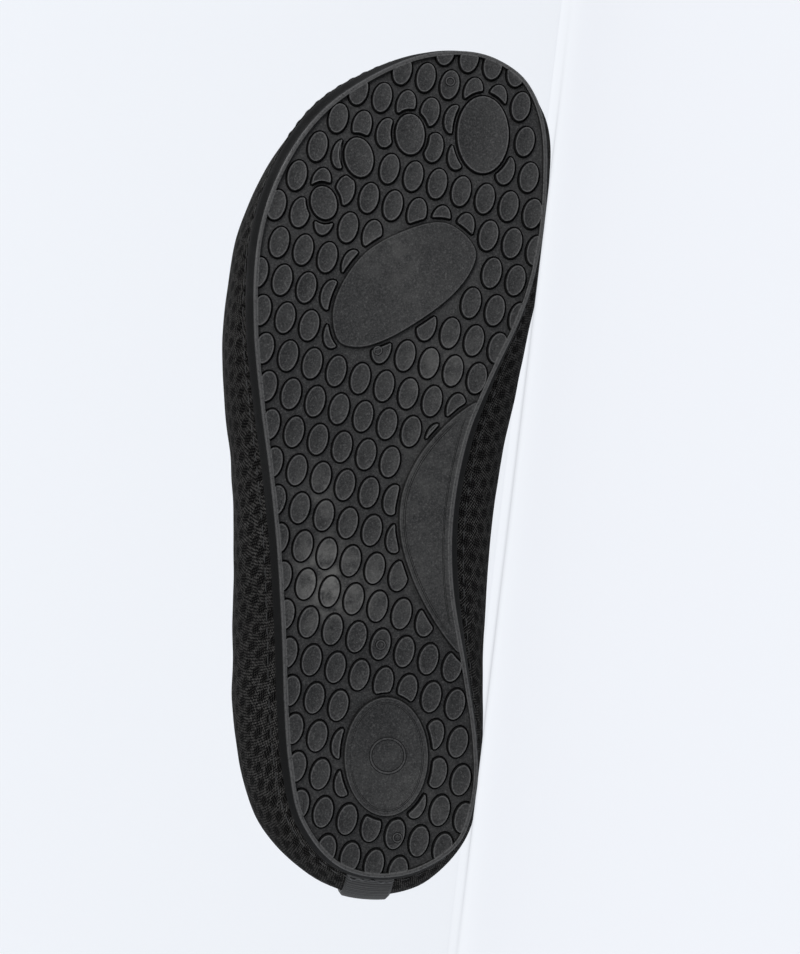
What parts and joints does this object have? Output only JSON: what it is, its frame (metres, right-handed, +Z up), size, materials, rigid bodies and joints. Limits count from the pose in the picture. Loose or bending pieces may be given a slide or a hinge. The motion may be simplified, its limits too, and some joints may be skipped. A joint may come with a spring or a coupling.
{
  "type": "water shoe",
  "caption": "Child's slip-on water shoe for the right foot, black mesh upper on a rubber sole with oval lugs, lying on its medial side.",
  "frame": {"origin": "under the middle of the shoe's box, on the floor that its medial side lies on", "axes": "+X towards the toe, +Z up from the medial side to the lateral side, +Y from the sole towards the collar"},
  "size_m": [0.1794, 0.0568, 0.0645],
  "materials": {
    "sole_rubber": "matt moulded black rubber with dusty scuffs",
    "mesh_fabric": "black sandwich mesh with clusters of small holes",
    "foam_sock": "black foam with a brushed cloth face",
    "ribbed_tape": "black ribbed woven tape"
  },
  "bodies": {
    "root": {"outsole": "sole_rubber", "upper": "mesh_fabric", "insole": "foam_sock", "heel_tape": "ribbed_tape"}
  },
  "joints": []
}
